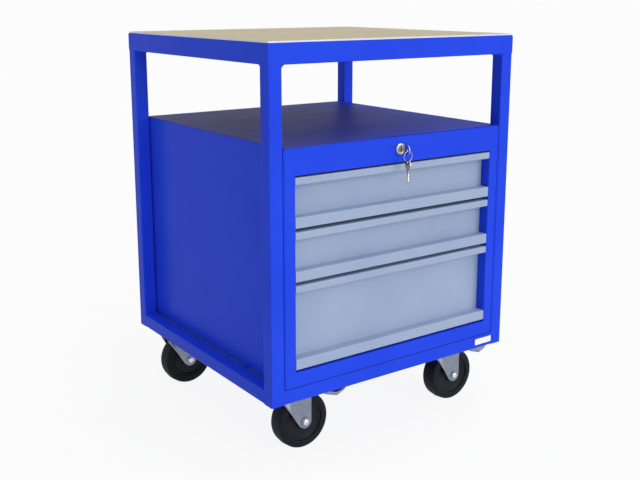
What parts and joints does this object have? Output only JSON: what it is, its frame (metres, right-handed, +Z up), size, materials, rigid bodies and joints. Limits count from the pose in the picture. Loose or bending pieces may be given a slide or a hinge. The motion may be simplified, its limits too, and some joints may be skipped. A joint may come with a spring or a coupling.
{
  "type": "mobile workbench",
  "caption": "Mobile workbench: welded square-tube frame with a wooden worktop, an open shelf, a lockable sheet-steel drawer cabinet and swivel casters with foot brakes.",
  "frame": {"origin": "on the floor, under the middle of the box round the whole object", "axes": "+Z up, -Y towards the user in front of the drawers, +X to the right seen from the front"},
  "size_m": [0.6724, 0.63, 0.8633],
  "materials": {
    "blue_paint": "satin powder coat",
    "grey_paint": "satin powder coat",
    "wood": "plain oiled board",
    "zinc": "zinc plated",
    "nickel": "nickel plated",
    "rim_plastic": "moulded",
    "tyre_rubber": "smooth rubber"
  },
  "bodies": {
    "bench": {"post_front_left": "blue_paint", "post_front_right": "blue_paint", "post_rear_left": "blue_paint", "post_rear_right": "blue_paint", "top_rail_front": "blue_paint", "top_rail_right": "blue_paint", "top_rail_rear": "blue_paint", "top_rail_left": "blue_paint", "bottom_rail_front": "blue_paint", "bottom_rail_right": "blue_paint", "bottom_rail_rear": "blue_paint", "bottom_rail_left": "blue_paint", "worktop_board": "wood", "caster_crossbar_front": "blue_paint", "caster_crossbar_rear": "blue_paint", "cabinet_left_side": "blue_paint", "cabinet_right_side": "blue_paint", "cabinet_back": "blue_paint", "cabinet_base": "blue_paint", "cabinet_top": "blue_paint", "cabinet_front_frame": "blue_paint", "channel_top_left": "zinc", "channel_top_right": "zinc", "channel_middle_left": "zinc", "channel_middle_right": "zinc", "channel_bottom_left": "zinc", "channel_bottom_right": "zinc", "lock_barrel": "nickel", "caster_front_left_plate": "zinc", "caster_front_right_plate": "zinc", "caster_rear_left_plate": "zinc", "caster_rear_right_plate": "zinc"},
    "drawer_top": {"drawer_top_front": "grey_paint", "drawer_top_tray": "grey_paint"},
    "drawer_middle": {"drawer_middle_front": "grey_paint", "drawer_middle_tray": "grey_paint"},
    "drawer_bottom": {"drawer_bottom_front": "grey_paint", "drawer_bottom_tray": "grey_paint"},
    "lock_core": {"lock_plug": "nickel", "inserted_key": "nickel"},
    "ring": {"key_ring": "zinc"},
    "swivel_front_left": {"caster_front_left_fork": "zinc", "caster_front_left_axle": "zinc"},
    "swivel_front_right": {"caster_front_right_fork": "zinc", "caster_front_right_axle": "zinc"},
    "swivel_rear_left": {"caster_rear_left_fork": "zinc", "caster_rear_left_axle": "zinc"},
    "swivel_rear_right": {"caster_rear_right_fork": "zinc", "caster_rear_right_axle": "zinc"},
    "wheel_front_left": {"caster_front_left_rim": "rim_plastic", "caster_front_left_tyre": "tyre_rubber"},
    "wheel_front_right": {"caster_front_right_rim": "rim_plastic", "caster_front_right_tyre": "tyre_rubber"},
    "wheel_rear_left": {"caster_rear_left_rim": "rim_plastic", "caster_rear_left_tyre": "tyre_rubber"},
    "wheel_rear_right": {"caster_rear_right_rim": "rim_plastic", "caster_rear_right_tyre": "tyre_rubber"},
    "pedal_front_left": {"caster_front_left_pedal": "zinc"},
    "pedal_front_right": {"caster_front_right_pedal": "zinc"}
  },
  "joints": [
    {"name": "drawer_top_slide", "type": "slide", "parent": "bench", "child": "drawer_top", "axis": [0, -1, 0], "range_m": [0, 0.42]},
    {"name": "drawer_middle_slide", "type": "slide", "parent": "bench", "child": "drawer_middle", "axis": [0, -1, 0], "range_m": [0, 0.42]},
    {"name": "drawer_bottom_slide", "type": "slide", "parent": "bench", "child": "drawer_bottom", "axis": [0, -1, 0], "range_m": [0, 0.42]},
    {"name": "lock_turn", "type": "hinge", "parent": "bench", "child": "lock_core", "pos_m": [-0.02116, -0.285, 0.6395], "axis": [0, 1, 0], "range_deg": [0, 90]},
    {"name": "key_ring_swing", "type": "hinge", "parent": "lock_core", "child": "ring", "pos_m": [-0.02116, -0.31, 0.6378], "axis": [1, 0, 0], "range_deg": [-75, 15]},
    {"name": "swivel_front_left", "type": "hinge", "parent": "bench", "child": "swivel_front_left", "pos_m": [-0.23516, -0.185, 0.14], "axis": [0, 0, 1], "continuous": true},
    {"name": "swivel_front_right", "type": "hinge", "parent": "bench", "child": "swivel_front_right", "pos_m": [0.19284, -0.185, 0.14], "axis": [0, 0, 1], "continuous": true},
    {"name": "swivel_rear_left", "type": "hinge", "parent": "bench", "child": "swivel_rear_left", "pos_m": [-0.27166, 0.264, 0.14], "axis": [0, 0, 1], "continuous": true},
    {"name": "swivel_rear_right", "type": "hinge", "parent": "bench", "child": "swivel_rear_right", "pos_m": [0.22934, 0.264, 0.14], "axis": [0, 0, 1], "continuous": true},
    {"name": "wheel_front_left", "type": "hinge", "parent": "swivel_front_left", "child": "wheel_front_left", "pos_m": [-0.20516, -0.185, 0.0625], "axis": [0, 1, 0], "continuous": true},
    {"name": "wheel_front_right", "type": "hinge", "parent": "swivel_front_right", "child": "wheel_front_right", "pos_m": [0.22284, -0.185, 0.0625], "axis": [0, 1, 0], "continuous": true},
    {"name": "wheel_rear_left", "type": "hinge", "parent": "swivel_rear_left", "child": "wheel_rear_left", "pos_m": [-0.24166, 0.264, 0.0625], "axis": [0, 1, 0], "continuous": true},
    {"name": "wheel_rear_right", "type": "hinge", "parent": "swivel_rear_right", "child": "wheel_rear_right", "pos_m": [0.25934, 0.264, 0.0625], "axis": [0, 1, 0], "continuous": true},
    {"name": "pedal_front_left", "type": "hinge", "parent": "swivel_front_left", "child": "pedal_front_left", "pos_m": [-0.19716, -0.185, 0.1304], "axis": [0, 1, 0], "range_deg": [0, 6]},
    {"name": "pedal_front_right", "type": "hinge", "parent": "swivel_front_right", "child": "pedal_front_right", "pos_m": [0.23084, -0.185, 0.1304], "axis": [0, 1, 0], "range_deg": [0, 6]}
  ]
}
